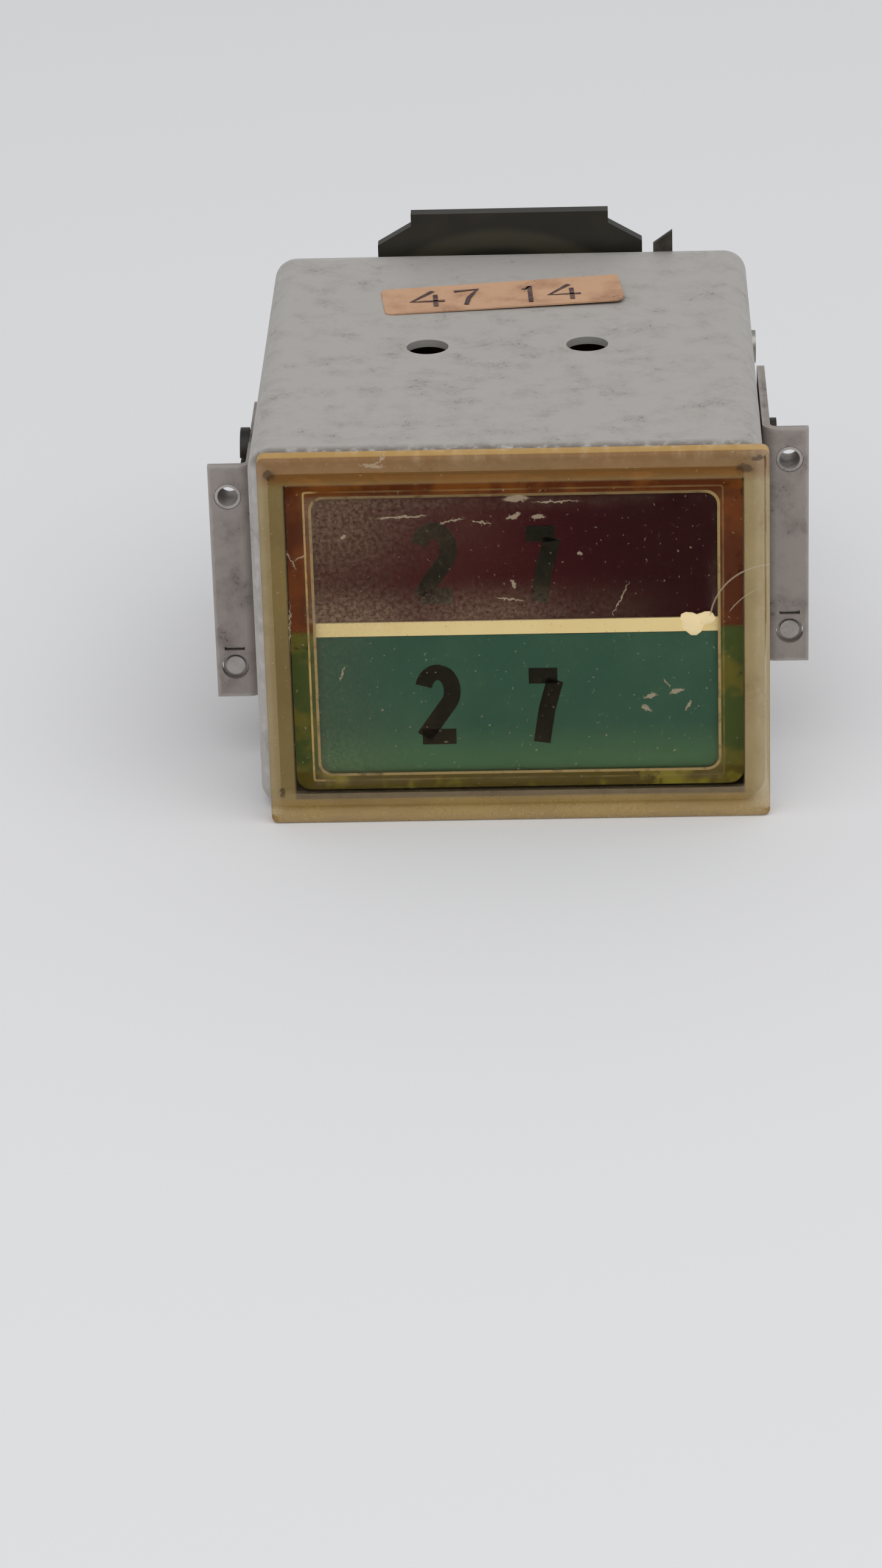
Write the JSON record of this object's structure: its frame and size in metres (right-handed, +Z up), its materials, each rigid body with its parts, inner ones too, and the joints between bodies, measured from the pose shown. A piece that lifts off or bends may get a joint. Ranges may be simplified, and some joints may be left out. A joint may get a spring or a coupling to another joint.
{
  "type": "panel indicator lamp",
  "caption": "Rectangular panel indicator lamp: yellowed clear lens cap over red and green filters, sheet-metal housing, bayonet lamps, terminal board and side brackets with nut strips.",
  "frame": {"origin": "middle of the housing's width, in the plane of the lens face, at the level the lamp stands on", "axes": "+X right as seen from the front, +Y to the rear, +Z up; the lens faces -Y"},
  "size_m": [0.0616, 0.0702, 0.0436],
  "materials": {
    "housing_sheet": "dull grey sheet metal, stained and rubbed",
    "bracket_sheet": "dark dull plated steel",
    "strip_steel": "dull plated spring steel",
    "plated_steel": "plated steel",
    "rivet_metal": "rubbed rivet heads",
    "black_screw": "black oxide",
    "fibre": "vulcanised fibre",
    "white_paint": "matt white paint",
    "bronze": "phosphor bronze leaf",
    "black_board": "black-olive laminate",
    "tinned_brass": "tinned",
    "tinned_dark": "dull tinned steel",
    "paper": "tan gummed paper",
    "brass": "dull brass",
    "lamp_brass": "brass lamp base",
    "spring_steel": "spring wire",
    "wire_red": "wire insulation",
    "wire_black": "wire insulation",
    "clear_plastic": "clear plastic, yellowed",
    "red_plastic": "dark red translucent plastic",
    "green_plastic": "green translucent plastic",
    "cream_plastic": "cream plastic strip",
    "lamp_glass": "clear lamp glass",
    "filament": "tungsten and wire"
  },
  "bodies": {
    "housing": {"housing_shell": "housing_sheet", "rear_cover": "housing_sheet", "cover_screws": "plated_steel", "light_baffle": "white_paint", "lamp_plate": "plated_steel", "plate_rivets": "rivet_metal", "bracket_left": "bracket_sheet", "bracket_right": "bracket_sheet", "nut_strip_left": "strip_steel", "nut_strip_right": "strip_steel", "bracket_screws": "black_screw", "bracket_shims": "fibre", "bracket_nuts": "plated_steel", "cap_spring": "bronze", "spring_rivets": "rivet_metal", "terminal_board": "black_board", "board_spacers": "plated_steel", "board_screws": "plated_steel", "solder_posts": "tinned_brass", "earth_lug": "tinned_dark", "paper_label": "paper", "socket_red_left": "brass", "socket_red_right": "brass", "socket_green_left": "brass", "socket_green_right": "brass", "socket_insulators": "fibre", "centre_contacts": "brass", "contact_springs": "spring_steel", "lamp_wires": "wire_red", "common_wire": "wire_black"},
    "lens_unit": {"lens_cap": "clear_plastic", "red_filter": "red_plastic", "green_filter": "green_plastic", "divider_strip": "cream_plastic"},
    "lamp_red_left": {"lamp_base_red_left": "lamp_brass", "lamp_bulb_red_left": "lamp_glass", "filament_red_left": "filament"},
    "lamp_red_right": {"lamp_base_red_right": "lamp_brass", "lamp_bulb_red_right": "lamp_glass", "filament_red_right": "filament"},
    "lamp_green_left": {"lamp_base_green_left": "lamp_brass", "lamp_bulb_green_left": "lamp_glass", "filament_green_left": "filament"},
    "lamp_green_right": {"lamp_base_green_right": "lamp_brass", "lamp_bulb_green_right": "lamp_glass", "filament_green_right": "filament"}
  },
  "joints": [
    {"name": "lens_pull", "type": "slide", "parent": "housing", "child": "lens_unit", "axis": [0, -1, 0], "range_m": [0, 0.008]},
    {"name": "lamp_turn_red_left", "type": "hinge", "parent": "housing", "child": "lamp_red_left", "pos_m": [-0.00835, 0.045, 0.02935], "axis": [0, -1, 0], "range_deg": [0, 40]},
    {"name": "lamp_turn_red_right", "type": "hinge", "parent": "housing", "child": "lamp_red_right", "pos_m": [0.00835, 0.045, 0.02935], "axis": [0, -1, 0], "range_deg": [0, 40]},
    {"name": "lamp_turn_green_left", "type": "hinge", "parent": "housing", "child": "lamp_green_left", "pos_m": [-0.00835, 0.045, 0.0105], "axis": [0, -1, 0], "range_deg": [0, 40]},
    {"name": "lamp_turn_green_right", "type": "hinge", "parent": "housing", "child": "lamp_green_right", "pos_m": [0.00835, 0.045, 0.0105], "axis": [0, -1, 0], "range_deg": [0, 40]}
  ]
}
